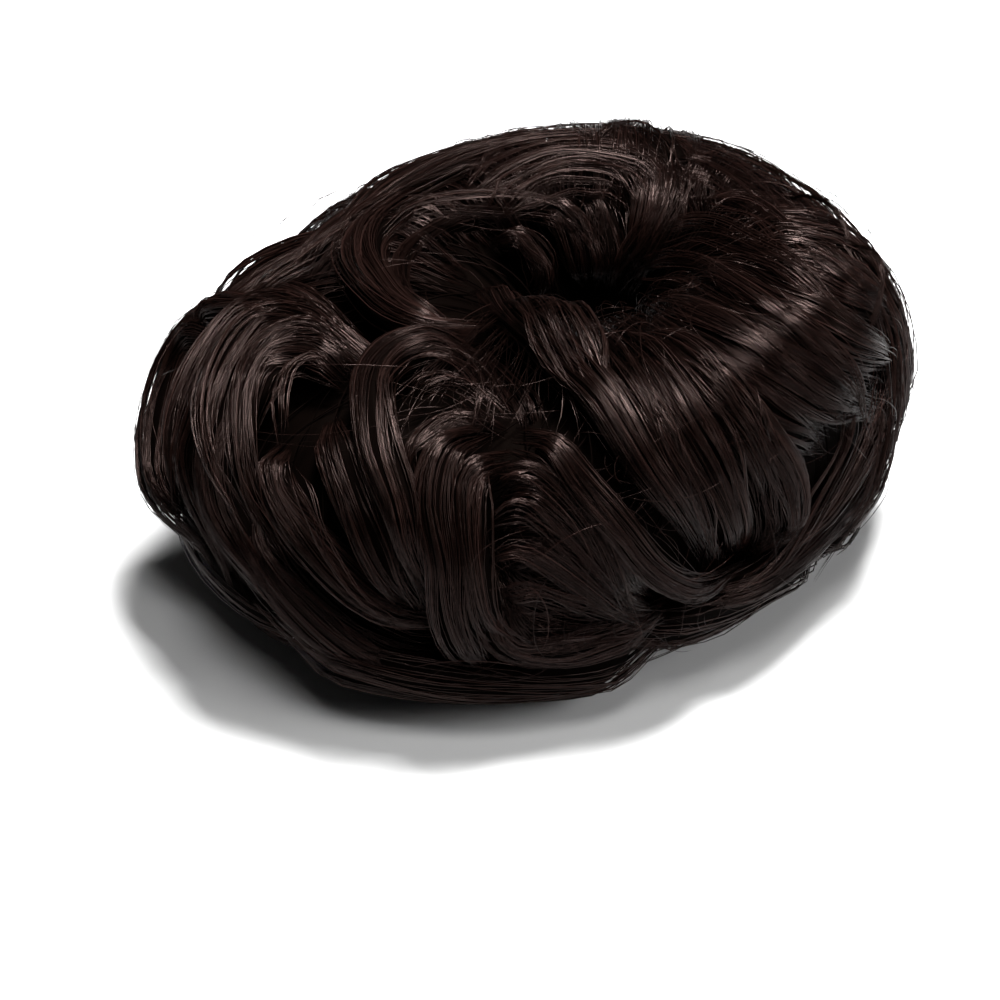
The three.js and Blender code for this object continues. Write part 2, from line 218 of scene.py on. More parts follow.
class Mesh:
    # gathers triangles, strip places for baking and a tone for each point
    def __init__(self):
        self.points, self.faces, self.strips, self.tones = [], [], [], []
        self.total = 0

    def add(self, points, faces, strip, tone):
        points = points.reshape(-1, 3)
        self.points.append(points)
        self.faces.append(faces.reshape(-1, 3) + self.total)
        self.strips.append(strip.reshape(-1, 2))
        self.tones.append(np.broadcast_to(tone, (len(points),)) if np.ndim(tone) == 0 else tone.reshape(-1))
        self.total += len(points)

    def build(self, name, material, heartMaterial=None, heartFaces=0):
        points, faces = np.concatenate(self.points), np.concatenate(self.faces)
        strips, tones = np.concatenate(self.strips), np.concatenate(self.tones)
        points[:, 2] = np.maximum(points[:, 2], lockSize["floorGap"])
        data = bpy.data.meshes.new(name)
        data.vertices.add(len(points))
        data.vertices.foreach_set("co", (points * mm).astype(np.float32).ravel())
        data.loops.add(faces.size)
        data.loops.foreach_set("vertex_index", faces.astype(np.int32).ravel())
        data.polygons.add(len(faces))
        data.polygons.foreach_set("loop_start", np.arange(0, faces.size, 3, dtype=np.int32))
        data.update(calc_edges=True)
        data.polygons.foreach_set("use_smooth", np.ones(len(faces), bool))
        layer = data.uv_layers.new(name="OFBake")
        layer.data.foreach_set("uv", strips[faces.ravel()].astype(np.float32).ravel())
        tone = data.attributes.new("tone", "FLOAT", "POINT")
        tone.data.foreach_set("value", tones.astype(np.float32))
        data.materials.append(material)
        if heartMaterial:
            data.materials.append(heartMaterial)
            inHeart = (np.arange(len(faces)) < heartFaces).astype(np.int32)
            data.polygons.foreach_set("material_index", inHeart)
        piece = bpy.data.objects.new(name, data)
        bpy.context.scene.collection.objects.link(piece)
        return piece


def addStrands(mesh, paths, out, radius, tones, strips=(0.0, 1.0)):
    # a closed three-sided tube along each path, thin at both ends
    count, steps, _ = paths.shape
    tangent = unit(np.gradient(paths, axis=1))
    out = unit(out - tangent * (out * tangent).sum(-1, keepdims=True))
    aside = np.cross(tangent, out)
    along = np.linspace(0, 1, steps)
    taper = np.clip(np.minimum(along * 12 + 0.35, (1 - along) * 7 + 0.15), 0, 1)
    width = (np.asarray(radius).reshape(-1, 1) * taper)[..., None]
    sides = [(math.cos(t), math.sin(t)) for t in (math.pi / 2, math.pi * 7 / 6, math.pi * 11 / 6)]
    points = np.stack([paths + width * (aside * c + out * s) for c, s in sides], 2)
    ring = np.arange(3)
    here = (np.arange(steps - 1)[:, None] * 3 + ring)
    beside = (np.arange(steps - 1)[:, None] * 3 + (ring + 1) % 3)
    walls = np.concatenate([np.stack([here, beside, beside + 3], -1),
                            np.stack([here, beside + 3, here + 3], -1)]).reshape(-1, 3)
    last = (steps - 1) * 3
    caps = np.array([[0, 2, 1], [last, last + 1, last + 2]])
    one = np.concatenate([walls, caps])
    faces = one[None] + (np.arange(count) * steps * 3)[:, None, None]
    low, high = strips
    column = low + (high - low) * (np.arange(count)[:, None, None] + 0.15 + 0.35 * ring) / count
    strip = np.stack(np.broadcast_arrays(column, along[None, :, None]), -1)
    tone = np.broadcast_to(np.asarray(tones).reshape(-1, 1, 1), (count, steps, 3))
    mesh.add(points, faces, strip, tone)


def wallFaces(rows, sides, total):
    # the faces between each row of points and the next, closed round the row
    here = rows[:, None] * sides + np.arange(sides)
    beside = rows[:, None] * sides + (np.arange(sides) + 1) % sides
    following, cross = (here + sides) % total, (beside + sides) % total
    return np.concatenate([np.stack([here, cross, beside], -1).reshape(-1, 3),
                           np.stack([here, following, cross], -1).reshape(-1, 3)])


def waves(rng, count, along, size, turns):
    # slow wandering of each strand, two sines with their own phase
    phase = rng.uniform(0, 2 * math.pi, (2, count, 1))
    speed = rng.uniform(0.6, 1.4, (2, count, 1)) * turns * 2 * math.pi
    mixed = np.sin(along * speed[0] + phase[0]) + 0.5 * np.sin(along * speed[1] * 2.1 + phase[1])
    return mixed * size


# finish of the hair, colours are linear
hairColours = {
    "dark": (0.0007, 0.0003, 0.0002), "middle": (0.0029, 0.0013, 0.0010),
    "light": (0.0128, 0.0059, 0.0048), "roughness": 0.23, "specular": 0.68, "ior": 1.2,
    "specularTint": (1, 0.68, 0.61), "streaks": 0.5, "bump": 0.25,
}
# a near-black, dull copy of the hair finish: painted shade, for the hearts of the locks and the under hair
# that shows in the pits
paintedShadeColours = {
    "dark": (0.0003, 0.0001, 0.0001), "middle": (0.0006, 0.0003, 0.0002),
    "light": (0.0018, 0.0009, 0.0008), "roughness": 0.7, "specular": 0.05, "ior": 1.2,
    "specularTint": (1, 0.7, 0.6), "streaks": 0.5, "bump": 0.25,
}


# what both finishes share: streaks along the strands, places of the three colours, shine
finishLook = {"streakScale": (520, 9, 1), "streakDetail": 3, "darkAt": 0.12, "middleAt": 0.55,
              "lightAt": 0.9583, "duller": 0.1, "shinier": 0.08, "bumpDepth": 0.1}


def hairFinish(name, look):
    material = bpy.data.materials.new(name)
    material.use_nodes = True
    nodes, links = material.node_tree.nodes, material.node_tree.links
    surface = nodes["Principled BSDF"]
    tone = nodes.new("ShaderNodeAttribute")
    tone.attribute_name = "tone"
    place = nodes.new("ShaderNodeUVMap")
    place.uv_map = "OFBake"
    stretch = nodes.new("ShaderNodeMapping")
    stretch.inputs["Scale"].default_value = finishLook["streakScale"]
    streak = nodes.new("ShaderNodeTexNoise")
    streak.inputs["Scale"].default_value = 1
    streak.inputs["Detail"].default_value = finishLook["streakDetail"]
    mix = nodes.new("ShaderNodeMath")
    mix.operation = "MULTIPLY_ADD"
    mix.inputs[1].default_value = look["streaks"]
    ramp = nodes.new("ShaderNodeValToRGB")
    ramp.color_ramp.elements[0].position = finishLook["darkAt"]
    ramp.color_ramp.elements[0].color = (*look["dark"], 1)
    ramp.color_ramp.elements[1].position = finishLook["lightAt"]
    ramp.color_ramp.elements[1].color = (*look["light"], 1)
    middle = ramp.color_ramp.elements.new(finishLook["middleAt"])
    middle.color = (*look["middle"], 1)
    shine = nodes.new("ShaderNodeMapRange")
    shine.inputs["To Min"].default_value = look["roughness"] + finishLook["duller"]
    shine.inputs["To Max"].default_value = look["roughness"] - finishLook["shinier"]
    links.new(place.outputs["UV"], stretch.inputs["Vector"])
    links.new(stretch.outputs["Vector"], streak.inputs["Vector"])
    links.new(streak.outputs["Fac"], mix.inputs[0])
    links.new(tone.outputs["Fac"], mix.inputs[2])
    links.new(mix.outputs["Value"], ramp.inputs["Fac"])
    links.new(ramp.outputs["Color"], surface.inputs["Base Color"])
    links.new(streak.outputs["Fac"], shine.inputs["Value"])
    links.new(shine.outputs["Result"], surface.inputs["Roughness"])
    surface.inputs["IOR"].default_value = look["ior"]
    surface.inputs["Specular IOR Level"].default_value = look["specular"]
    surface.inputs["Specular Tint"].default_value = (*look["specularTint"], 1)
    bump = nodes.new("ShaderNodeBump")
    bump.inputs["Strength"].default_value = look["bump"]
    bump.inputs["Distance"].default_value = finishLook["bumpDepth"] * mm
    links.new(streak.outputs["Fac"], bump.inputs["Height"])
    links.new(bump.outputs["Normal"], surface.inputs["Normal"])
    return material


hairMaterial = hairFinish("brown_hair", hairColours)
paintedShadeMaterial = hairFinish("under_hair", paintedShadeColours)

# how the strands of a lock lie: counts are per millimetre of its width
strandLook = {
    "shown": 10, "back": 4.2, "rim": 2.4, "radius": 0.105, "backRadius": 0.17, "step": 3.3,
    "backStep": 5, "clumpWidth": 2.1, "pinch": 0.5, "clumpSway": 0.30, "clumpRise": 0.34,
    "clumpDome": 0.40, "rootWidth": 0.4, "rootEnd": 0.16, "rootSpread": 0.16, "tipWidth": 0.5,
    "reach": 1.06, "tipSpread": 0.32, "fray": 0.9, "looseShare": 0.07, "looseBow": 1.6,
    "spread": 1.03, "tone": 0.28, "toneSpread": 0.18, "clumpScatter": 0.42, "riseScatter": 0.14,
    "wander": 0.012, "wanderTurns": 1.3, "fringeFrom": 0.75, "sideDrop": 1.3, "sideReach": 0.25,
    "lightest": 0.75,
}
# a thin layer below the strands, wider than the lock, that closes its sides, toned darker as painted shade
underLayer = {"share": 0.1, "thicker": 1.2, "spread": 1.4, "depth": 0.45, "tone": 0.12}
# the near-black middle of each lock, painted shade under the strands, none where the strands lie deeper
# than its sunk limit
heartLook = {"sides": 28, "step": 3, "from": 0.08, "to": 0.86, "wide": 0.88, "deep": 0.86,
             "below": 0.1, "ripple": 0.035, "ripples": 9, "sunkLimit": 3}


# where a lock's strands differ from the rest: end widths as shares, fray and rise in millimetres
lockTips = {
    "back": {"root": 0.9, "tip": 0.95, "fray": 2.2, "rise": 0.7, "loose": 0.12},
    "rim": {"root": 0.7, "tip": 0.7, "fray": 1.6, "rise": 0.5, "loose": 0.1},
    "front_fan": {"slim": 0.72, "root": 0.9, "tip": 0.3, "fray": 1.6, "rise": 0.55, "loose": 0.16},
    "inner_front_fan": {"root": 0.9, "tip": 0.4, "fray": 1.8, "rise": 0.5, "loose": 0.16},
    "bottom_rim_lock": {"slim": 0.85, "root": 0.6, "tip": 0.35, "fray": 1.2},
    "top_fan": {"slim": 0.85, "root": 0.6, "tip": 0.35, "fray": 1.2, "rise": 0.6, "loose": 0.14},
    "upper_fan": {"slim": 0.85, "root": 0.6, "tip": 0.3, "fray": 1.8, "rise": 0.65, "loose": 0.14},
    "middle_fan": {"slim": 0.82, "root": 0.6, "tip": 0.4, "fray": 2.6, "rise": 0.65, "loose": 0.14},
    "low_fan": {"slim": 0.8, "root": 0.6, "tip": 0.5, "fray": 3.0, "rise": 0.6, "loose": 0.14},
    "inner_drop": {"slim": 0.8, "root": 0.8, "tip": 0.6, "fray": 1.8, "rise": 0.5},
    "outer_drop": {"slim": 0.8, "root": 0.7, "tip": 0.45, "fray": 1.2, "rise": 0.5},
    "crown_drop": {"slim": 0.85, "rootSpread": 0.04, "rootEnd": 0.05, "root": 0.85, "tip": 0.7,
                   "fray": 1.4, "rise": 0.5, "loose": 0.1},
    "crown_fill": {"slim": 0.6, "rise": 0.6, "loose": 0.06, "fray": 1.2, "sunk": 4.6, "reach": 0.92},
    "ear_lining": {"slim": 0.8, "rise": 0.5, "loose": 0.1, "sunk": 2.4, "rootSpread": 0.4},
    "diagonal_band": {"slim": 0.85, "root": 0.7, "tip": 0.5, "fray": 0.8},
    "ear_lock": {"slim": 0.9, "root": 0.6, "tip": 0.6, "fray": 1.2},
    "left_front_fall": {"slim": 0.85, "root": 0.6, "tip": 0.8, "fray": 1.3, "rise": 0.45},
    "right_front_fall": {"slim": 0.85, "root": 0.5, "tip": 0.9, "fray": 1.5, "rise": 0.45},
    "back_fluff": {"root": 0.8, "tip": 0.8, "fray": 1.6, "rise": 0.8, "loose": 0.2},
    "top_right_curl": {"rise": 0.5, "loose": 0.08, "fray": 1.4},
    "top_curl": {"slim": 0.9, "rise": 0.6, "fray": 1.5, "loose": 0.12},
    "eye_wall": {"slim": 0.8, "rise": 0.7, "fray": 1.5, "loose": 0.15},
    "thin_top_lock": {"rise": 0.5, "fray": 1.2, "loose": 0.15},
    "eye_curl": {"slim": 0.8, "rise": 0.5, "fray": 1.2, "loose": 0.15},
    "outer_wave": {"slim": 0.9, "root": 0.7, "tip": 0.5, "fray": 1.0, "rise": 0.5},
    "middle_wave": {"slim": 0.85, "root": 0.7, "tip": 0.6, "fray": 1.2, "rise": 0.5},
    "inner_wave": {"root": 0.7, "tip": 0.5, "fray": 1.4},
    "outer_swirl": {"root": 0.6, "tip": 0.4, "fray": 0.9},
    "inner_swirl": {"slim": 0.7, "sunk": 2.2, "root": 0.7, "tip": 0.5, "fray": 1.4},
    "pit_fall": {"slim": 0.8, "rise": 0.5}, "low_left_sweep": {"slim": 0.85, "rise": 0.5},
    "pit_curl": {"slim": 0.85}, "right_rim": {"slim": 0.85, "rise": 0.5},
    "far_left_roll": {"slim": 0.9, "root": 0.6, "fray": 1.2, "rise": 0.5},
}

# strands between two neighbouring locks, lift in millimetres from their faces, toned darker than the locks
# as painted shade in the gaps
webs = table(("from", "to", "strands", "lift", "sag"), [
    ("front_fan", "bottom_rim_lock", 150, 0.2, 1.2),
    ("front_fan", "inner_front_fan", 40, 0.1, 1),
    ("outer_wave", "middle_wave", 60, -0.1, 2),
    ("middle_wave", "inner_wave", 50, -0.1, 2),
    ("top_fan", "upper_fan", 50, 0, 2.5),
    ("upper_fan", "middle_fan", 60, 0, 2.5),
    ("middle_fan", "low_fan", 50, 0, 2.5),
    ("low_fan", "outer_drop", 50, -0.6, 3),
    ("outer_drop", "inner_drop", 60, -0.6, 3),
    ("inner_drop", "crown_drop", 50, -1.2, 3),
    ("pit_fall", "ear_lock", 20, -1.0, 3),
    ("pit_curl", "low_left_sweep", 40, -0.8, 3),
    ("left_front_fall", "right_front_fall", 40, -0.2, 2),
    ("thin_top_lock", "top_curl", 30, -1.0, 3),
]) + [{"from": f"back_lock_{i}", "to": f"back_lock_{i + 1}", "strands": 34, "lift": 0.2, "sag": 2.5}
     for i in range(1, len(backLocks["lift"]))]


def smooth(low, high, value):
    t = np.clip((value - low) / (high - low), 0, 1)
    return t * t * (3 - 2 * t)


def tipsOf(row):
    return lockTips.get(row["name"], lockTips.get(row.get("kind"), {}))


def widthShare(row, along):
    tips = tipsOf(row)
    tip, root = tips.get("tip", strandLook["tipWidth"]), tips.get("root", strandLook["rootWidth"])
    widening = root + (1 - root) * smooth(-0.02, 0.2, along)
    narrowing = 1 - (1 - tip) * smooth(0.6, 1.02, along)
    return tips.get("slim", 1) * widening * narrowing


def depthShare(row, along):
    rootEnd = tipsOf(row).get("rootEnd", row.get("rootEnd", strandLook["rootEnd"]))
    return smooth(-0.06, rootEnd, along) * (1 - 0.85 * smooth(0.72, 1.04, along))


def heart(mesh, row, course, rng):
    # the dense middle of a lock, under its strands, in the painted-shade finish
    sides, steps = heartLook["sides"], max(10, round(course.length / heartLook["step"]))
    angle = np.linspace(0, 2 * math.pi, sides, endpoint=False)[None, :]
    along = np.linspace(heartLook["from"], heartLook["to"], steps)[:, None]
    middle, _, out, aside = course.read(np.broadcast_to(along, (steps, sides)))
    fromTip, fromRoot = heartLook["to"] + 0.005 - along, along - heartLook["from"] + 0.01
    closing = np.sqrt(np.clip(np.minimum(fromTip / 0.12, fromRoot / 0.06), 0.01, 1))
    wide = course.halfWide(along) * heartLook["wide"] * widthShare(row, along) * closing
    deep = course.halfDeep * depthShare(row, along) * closing
    sink = 0.7 * course.halfDeep * (1 - depthShare(row, along)) + tipsOf(row).get("sunk", 0)
    wave = np.sin(angle * heartLook["ripples"] + rng.uniform(0, 6) + 4 * along)
    ripple = 1 + heartLook["ripple"] * wave
    height = deep * heartLook["deep"] * ripple * np.sin(angle) - sink - heartLook["below"]
    points = (middle + aside * (wide * ripple * np.cos(angle))[..., None]
              + out * height[..., None])
    walls = wallFaces(np.arange(steps - 1), sides, sides * steps)
    fan = np.arange(1, sides - 1)
    start = np.stack([np.zeros_like(fan), fan, fan + 1], -1)
    last = (steps - 1) * sides
    end = np.stack([np.full_like(fan, last), last + fan + 1, last + fan], -1)
    strip = np.stack(np.broadcast_arrays(0.002 + 0.296 * angle / (2 * math.pi), along), -1)
    tone = np.broadcast_to(0.04 + 0.1 * rng.random((1, sides)), (steps, sides))
    mesh.add(points, np.concatenate([walls, start, end]), strip, tone)


def lockStrands(mesh, row, course, rng, count, radius, spread, depth, tone, strips):
    # x runs across the lock from -1 to 1, beyond that the strands turn down its sides
    tips = tipsOf(row)
    step = strandLook["backStep" if radius > strandLook["radius"] * 1.3 else "step"]
    steps = int(np.clip(round(course.length / step), 7, 40))
    rootSpread = tips.get("rootSpread", strandLook["rootSpread"])
    begin = -0.02 + rootSpread * rng.random((count, 1)) ** 1.5
    reachTo = tips.get("reach", strandLook["reach"])
    finish = reachTo - strandLook["tipSpread"] * rng.random((count, 1)) ** 1.4
    along = begin + (finish - begin) * np.linspace(0, 1, steps)[None, :]
    clumps = max(3, round(2 * spread * course.rootHalfWide / strandLook["clumpWidth"]))
    pitch = 2 * spread / clumps
    centres = -spread + pitch * (np.arange(clumps) + 0.5) + rng.uniform(-0.2, 0.2, clumps) * pitch
    chosen = rng.integers(0, clumps, count)
    offset = rng.normal(0, strandLook["clumpScatter"], (count, 1)) * pitch
    own = rng.uniform(0, 2 * math.pi, (6, clumps, 1))[:, chosen]
    pinch = 1 - strandLook["pinch"] * (0.5 + 0.5 * np.sin(along * 2 * math.pi * 1.1 + own[0]))
    sway = np.sin(along * 2 * math.pi * 0.8 + own[1]) + 0.5 * np.sin(along * 2 * math.pi * 1.9 + own[2])
    x = centres[chosen][:, None] + offset * pinch + strandLook["clumpSway"] * pitch * sway
    rise = np.sin(along * 2 * math.pi * 0.9 + own[3]) + 0.6 * np.sin(along * 2 * math.pi * 1.7 + own[4])
    lift = tips.get("rise", strandLook["clumpRise"]) * rise
    lift = lift - strandLook["clumpDome"] * (offset / pitch * pinch) ** 2
    lift = lift + rng.normal(0, strandLook["riseScatter"], (count, 1))
    x = x + waves(rng, count, along, strandLook["wander"], strandLook["wanderTurns"])
    loose = rng.random((count, 1)) < tips.get("loose", strandLook["looseShare"])
    bow = np.sin(math.pi * np.clip(along, 0, 1) ** rng.uniform(0.7, 2.2, (count, 1)))
    x = x + loose * bow * rng.normal(0, 1, (count, 1)) * strandLook["looseBow"] / course.rootHalfWide
    lift = lift + loose * (0.35 + bow * rng.uniform(0, 0.9, (count, 1)))
    fringeFrom = strandLook["fringeFrom"]
    fringe = np.maximum(0, (along - fringeFrom) / (1 - fringeFrom)) ** 1.6
    fray = tips.get("fray", strandLook["fray"]) / course.rootHalfWide
    x = x + fringe * rng.normal(0, 1, (count, 1)) * fray
    over = np.maximum(0, np.abs(x) - 1)
    dome = np.sqrt(np.maximum(0, 1 - np.clip(np.abs(x), 0, 1) ** 2)) - strandLook["sideDrop"] * over
    across = np.sign(x) * (np.minimum(np.abs(x), 1) + strandLook["sideReach"] * over)
    wide = course.halfWide(along) * widthShare(row, along)
    deep = depthShare(row, along)
    sink = 0.7 * course.halfDeep * (1 - deep)
    middle, _, out, aside = course.read(along)
    height = course.halfDeep * deep * dome * depth - sink + lift * (0.4 + 0.6 * deep)
    height = height - tips.get("sunk", 0)
    paths = middle + aside * (wide * across)[..., None] + out * height[..., None]
    facing = unit(aside * across[..., None] + out * (0.4 + np.abs(dome))[..., None])
    thick = radius * rng.uniform(0.7, 1.25, count) * np.where(loose[:, 0], 0.65, 1)
    tones = rng.normal(tone, strandLook["toneSpread"], count) + 0.06 * np.sin(own[5][:, 0])
    tones = np.clip(tones, 0.0, strandLook["lightest"])
    addStrands(mesh, paths, facing, thick, tones, strips)


def webStrands(mesh, courses, web):
    rng = np.random.default_rng(sum(map(ord, web["from"] + web["to"])))
    first, second = courses[web["from"]], courses[web["to"]]
    count = web["strands"]
    steps = int(np.clip(round(max(first.length, second.length) / 3), 8, 30))
    begin = rng.uniform(-0.04, 0.2, (count, 1))
    finish = 1.05 - 0.35 * rng.random((count, 1))
    along = begin + (finish - begin) * np.linspace(0, 1, steps)[None, :]
    share = rng.uniform(0.05, 0.95, (count, 1)) + waves(rng, count, along, 0.06, 0.8)
    share = np.clip(share, 0, 1)[..., None]
    a, b = first.read(along), second.read(along)
    out = unit(a[2] * (1 - share) + b[2] * share)
    face = (first.halfDeep * (1 - share) + second.halfDeep * share) * 0.5
    sag = web["sag"] * share * (1 - share)
    buried = (3.5 * (1 - smooth(0, 0.22, along)) + 1.5 * smooth(0.82, 1, along))[..., None]
    lift = web["lift"] + rng.uniform(-0.8, 0.5, (count, 1, 1)) - sag - buried
    paths = a[0] * (1 - share) + b[0] * share + out * (face + lift)
    # the web strands' darker tone is painted shade between the locks
    addStrands(mesh, paths, out, strandLook["radius"] * rng.uniform(0.6, 1.2, count),
               np.clip(rng.normal(0.2, 0.14, count), 0, 0.6), (0.87, 1.0))


courses = {row["name"]: Course(row) for row in allLocks()}


def lockPiece(row, index):
    rng = np.random.default_rng(seeds["locks"] + index)
    course = courses[row["name"]]
    mesh = Mesh()
    radius = strandLook["radius" if row["kind"] == "shown" else "backRadius"]
    count = round(strandLook[row["kind"]] * 2 * course.rootHalfWide)
    if tipsOf(row).get("sunk", 0) < heartLook["sunkLimit"]:
        heart(mesh, row, course, rng)
    heartFaces = sum(len(f) for f in mesh.faces)
    lockStrands(mesh, row, course, rng, count, radius, strandLook["spread"], 1.0,
                strandLook["tone"], (0.31, 0.8))
    # the under layer's darker tone is painted shade below the lock's strands
    lockStrands(mesh, row, course, rng, round(count * underLayer["share"]),
                radius * underLayer["thicker"], underLayer["spread"], underLayer["depth"],
                underLayer["tone"], (0.8, 0.87))
    for web in webs:
        if web["from"] == row["name"]:
            webStrands(mesh, courses, web)
    # the heart faces take the painted-shade finish, the strands the hair finish
    piece = mesh.build(row["name"] + "_hair", hairMaterial, paintedShadeMaterial, heartFaces)
    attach(piece, "root")
    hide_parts(row["name"])
    return mesh


triangles = 0
for index, row in enumerate(allLocks()):
    made = lockPiece(row, index)
    triangles += sum(len(f) for f in made.faces)
print("locks made,", triangles, "triangles")

underLook = {"strands": 120, "radius": 0.2, "steps": 34, "drift": 34, "low": -8.4, "high": -4.2,
             "around": 220, "overSteps": 64, "bore": 16, "ridges": [(0.35, 97, 0), (0.3, 61, 1)]}


def underHair():
    rng = np.random.default_rng(seeds["underHair"])
    mesh = Mesh()
    around, sides = underLook["around"], underLook["overSteps"]
    at = np.linspace(0, 360, around, endpoint=False)[:, None]
    over = (np.arange(sides) + 0.5)[None, :] * 360 / sides
    ridge = sum(high * np.sin(np.radians(at) * turns + phase) for high, turns, phase in underLook["ridges"])
    points = onRoll(at, over, -roll["baseDepth"] - 0.4 + ridge)
    drop = np.maximum(0, (roll["widest"] - points[..., 2]) / (roll["widest"] - roll["baseDepth"]))
    points[..., 2] = np.maximum(0, points[..., 2] - drop * (roll["baseDepth"] + 1))
    flat = points[..., :2] - hub[:2]
    radius = np.linalg.norm(flat, axis=-1, keepdims=True)
    points[..., :2] = hub[:2] + flat / radius * np.maximum(radius, underLook["bore"] + 0.2)
    faces = wallFaces(np.arange(around), sides, around * sides)
    strip = np.stack(np.broadcast_arrays(0.3 * at / 360, over / 360), -1)
    tone = np.broadcast_to(0.1 + 0.2 * rng.random((around, 1)), (around, sides))
    mesh.add(points, faces, strip, tone)

    count, steps = underLook["strands"], underLook["steps"]
    along = np.linspace(0, 1, steps)[None, :]
    at = rng.uniform(0, 360, (count, 1)) + waves(rng, count, along, 5, 0.9)
    at = at + rng.uniform(-1, 1, (count, 1)) * underLook["drift"] * along
    over = 158 + rng.uniform(-14, 6, (count, 1)) - along * rng.uniform(170, 205, (count, 1))
    lift = rng.uniform(underLook["low"], underLook["high"], (count, 1)) + waves(rng, count, along, 0.7, 1.5)
    paths = onRoll(at, over, lift)
    addStrands(mesh, paths, onRoll(at, over, lift + 3) - paths,
               underLook["radius"] * rng.uniform(0.5, 1.3, count),
               np.clip(rng.normal(0.3, 0.15, count), 0, 0.7), (0.31, 1.0))
    # the under hair ring and its strands wear the painted-shade finish, so the pits between the locks look
    # dark
    piece = mesh.build("under_hair_ring", paintedShadeMaterial)
    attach(piece, "root")
    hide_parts("hair_base")
    print("under hair made,", sum(len(f) for f in mesh.faces), "triangles")


underHair()

bandLook = {"thickness": 2, "ribs": 110, "ribDepth": 0.06, "around": 440, "weave": (330, 24, 1),
            "colour": (0.01, 0.009, 0.009), "threadLighter": 2.4, "roughness": 0.85, "sheen": 0.3}
# the band's section, a slim rounded bar: out to 2 and up to 8
bandSection = [(0.15, 0), (1.85, 0), (2, 0.3), (2, 1.5), (1.85, 3), (2, 4.5), (1.85, 6), (2, 7.7),
               (1.85, 8), (0.15, 8), (0, 7.7), (0.15, 6), (0, 4.5), (0.15, 3), (0, 1.5), (0, 0.3)]


def coveredBand():
    mesh = Mesh()
    inner, thick = (bandHigh[0] - bandLow[0]) / 2 - bandLook["thickness"], bandLook["thickness"]
    low, high = bandLow[2], bandHigh[2]
    turn = np.linspace(0, 2 * math.pi, bandLook["around"], endpoint=False)[:, None]
    corners = np.array(bandSection)
    rib = bandLook["ribDepth"] * np.sin(turn * bandLook["ribs"])
    radius = inner + corners[None, :, 0] * thick / 2 + rib * np.sign(corners[None, :, 0] - 1)
    height = low + corners[None, :, 1] * (high - low) / 8 + 0 * turn
    points = np.stack([hub[0] + radius * np.cos(turn), hub[1] + radius * np.sin(turn), height], -1)
    around, sides = points.shape[:2]
    faces = wallFaces(np.arange(around), sides, around * sides)[:, ::-1]
    strip = np.stack(np.broadcast_arrays(turn / (2 * math.pi), np.arange(sides)[None] / sides), -1)
    mesh.add(points, faces, strip, 0.2)
    material = bpy.data.materials.new("covered_elastic")
    material.use_nodes = True
    nodes, links = material.node_tree.nodes, material.node_tree.links
    surface = nodes["Principled BSDF"]
    place = nodes.new("ShaderNodeUVMap")
    place.uv_map = "OFBake"
    weave = nodes.new("ShaderNodeTexChecker")
    weave.inputs["Scale"].default_value = 1
    weave.inputs["Color1"].default_value = (*bandLook["colour"], 1)
    weave.inputs["Color2"].default_value = (
        *(bandLook["threadLighter"] * c for c in bandLook["colour"]), 1)
    scale = nodes.new("ShaderNodeMapping")
    scale.inputs["Scale"].default_value = bandLook["weave"]
    links.new(place.outputs["UV"], scale.inputs["Vector"])
    links.new(scale.outputs["Vector"], weave.inputs["Vector"])
    links.new(weave.outputs["Color"], surface.inputs["Base Color"])
    surface.inputs["Roughness"].default_value = bandLook["roughness"]
    surface.inputs["Sheen Weight"].default_value = bandLook["sheen"]
    piece = mesh.build("covered_elastic_band", material)
    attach(piece, "root")
    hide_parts("elastic_band")
    print("band made")


coveredBand()

# fine hairs that stray from the locks: ranges in degrees, lift and length in millimetres
looseLook = {"radius": 0.055, "steps": 11, "tuftSteps": 22, "collarSteps": 15,
             "perDegreeAt": 0.78, "perDegreeOver": 0.52}
fuzzPatches = table(("at", "over", "lift", "hairs", "length"), [
    ((262, 279), (10, 50), (-4.5, -0.5), 45, 12),
    ((236, 249), (66, 86), (-2.5, 0.6), 26, 13),
    ((225, 268), (100, 126), (0.2, 1.4), 8, 12),
    ((268, 350), (84, 130), (0.2, 2.2), 60, 18),
    ((2, 62), (66, 100), (-2.5, 0.2), 100, 13),
    ((322, 345), (2, 34), (-1.5, 1.6), 60, 13),
    ((140, 215), (84, 112), (-0.4, 0.8), 16, 16),
    ((90, 130), (66, 120), (-0.6, 0.5), 26, 14),
    ((250, 300), (-22, 4), (0, 1.2), 40, 11),
    ((0, 360), (20, 100), (-0.2, 0.8), 90, 20),
])
# thin tufts that stand clear of the outline, from one place on the roll to another
strayTufts = table(("at", "over", "rise", "hairs"), [
    ((24, -4), (82, 62), 3.6, 16),
    ((2, -20), (64, 42), 5.2, 16),
    ((225, 246), (-2, -36), 1.4, 4),
    ((252, 285), (-26, -30), 1.2, 5),
    ((288, 306), (-8, 2), 1.4, 6),
    ((335, 318), (18, -16), 2.0, 6),
])
# hairs that close in on the mouth of the hollow from the front and the right
collarRows = [
    {"at": (288, 365), "swing": 44, "over": (166, 86), "rise": 2.4, "hairs": 150},
    {"at": (228, 292), "swing": -26, "over": (158, 78), "rise": 1.8, "hairs": 120},
]


